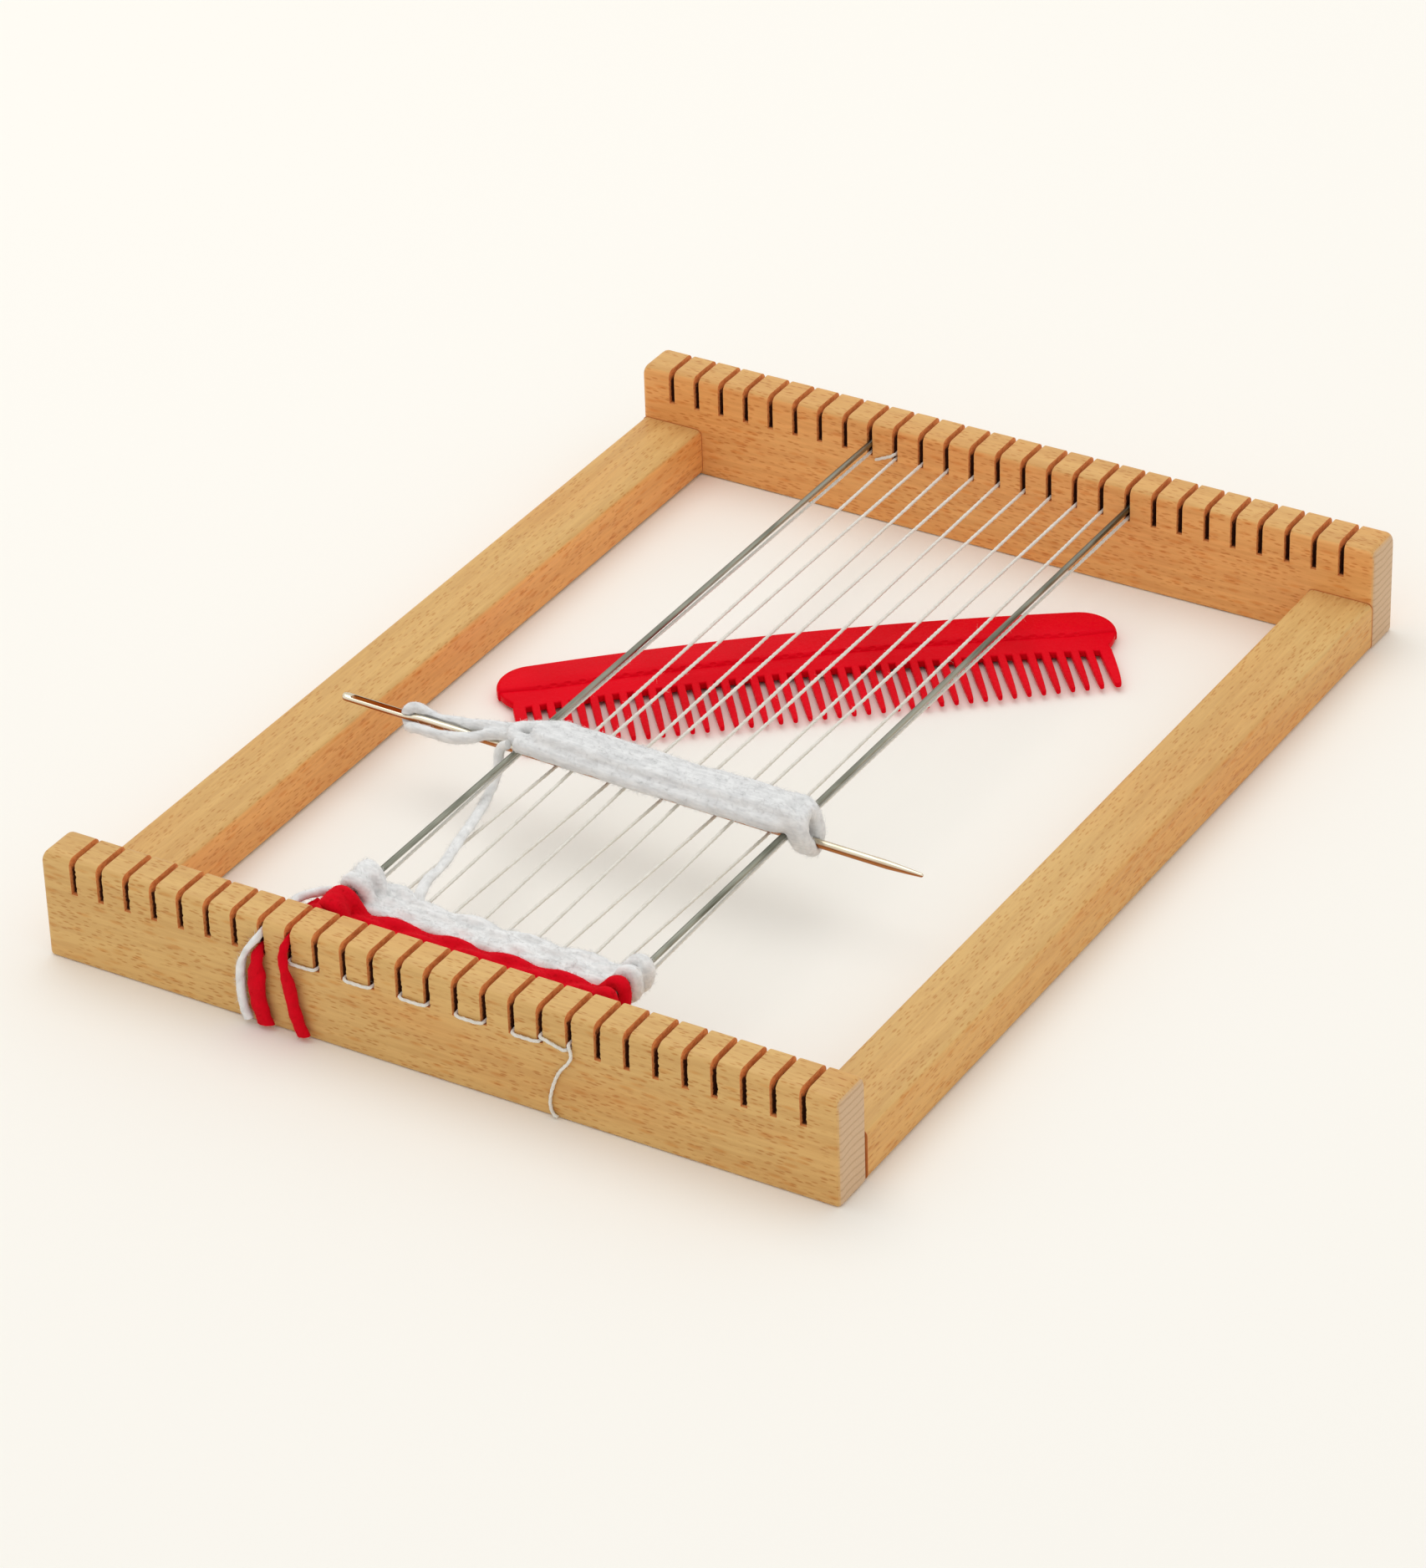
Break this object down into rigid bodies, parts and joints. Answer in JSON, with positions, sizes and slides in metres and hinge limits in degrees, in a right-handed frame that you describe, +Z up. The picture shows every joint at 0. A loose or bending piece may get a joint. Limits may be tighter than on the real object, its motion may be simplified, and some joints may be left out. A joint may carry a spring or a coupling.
{
  "type": "weaving frame",
  "caption": "Small wooden weaving frame with slotted end rails, a wound warp, a started band of red and white yarn, a yarn-wrapped steel needle and a red comb.",
  "frame": {"origin": "on the table under the middle of the wooden frame", "axes": "+Z up, Y along the warp threads with the started band at -Y, +X to the right when the band is nearest the viewer"},
  "size_m": [0.199, 0.2673, 0.0266],
  "materials": {
    "beech": "oiled, satin",
    "staple_steel": "satin wire",
    "rod_steel": "drawn wire",
    "needle_steel": "nickel plated",
    "warp_cotton": "twisted cotton thread",
    "red_yarn": "soft woollen yarn",
    "white_yarn": "soft woollen yarn",
    "red_plastic": "moulded, glossy"
  },
  "bodies": {
    "frame": {"front_rail": "beech", "rear_rail": "beech", "left_side_rail": "beech", "right_side_rail": "beech", "front_left_staple": "staple_steel", "front_right_staple": "staple_steel", "rear_left_staple": "staple_steel", "rear_right_staple": "staple_steel", "warp_thread": "warp_cotton", "warp_end_tail": "warp_cotton", "red_weft": "red_yarn", "red_start_tail": "red_yarn", "red_end_tail": "red_yarn", "white_weft": "white_yarn", "white_start_tail": "white_yarn", "yarn_lead": "white_yarn", "yarn_winding": "white_yarn", "eye_yarn": "white_yarn"},
    "left_rod": {"left_selvedge_rod": "rod_steel"},
    "right_rod": {"right_selvedge_rod": "rod_steel"},
    "needle": {"needle": "needle_steel"},
    "comb": {"comb": "red_plastic"}
  },
  "joints": [
    {"name": "left_rod_slide", "type": "slide", "parent": "frame", "child": "left_rod", "axis": [0, 1, 0], "range_m": [0, 0.262]},
    {"name": "right_rod_slide", "type": "slide", "parent": "frame", "child": "right_rod", "axis": [0, 1, 0], "range_m": [0, 0.262]},
    {"name": "needle_slide", "type": "slide", "parent": "frame", "child": "needle", "axis": [0.9997, -0.0262, 0], "range_m": [0, 0.0125]},
    {"name": "comb_slide", "type": "slide", "parent": "frame", "child": "comb", "axis": [0, 1, 0], "range_m": [-0.1052, 0.018]}
  ]
}
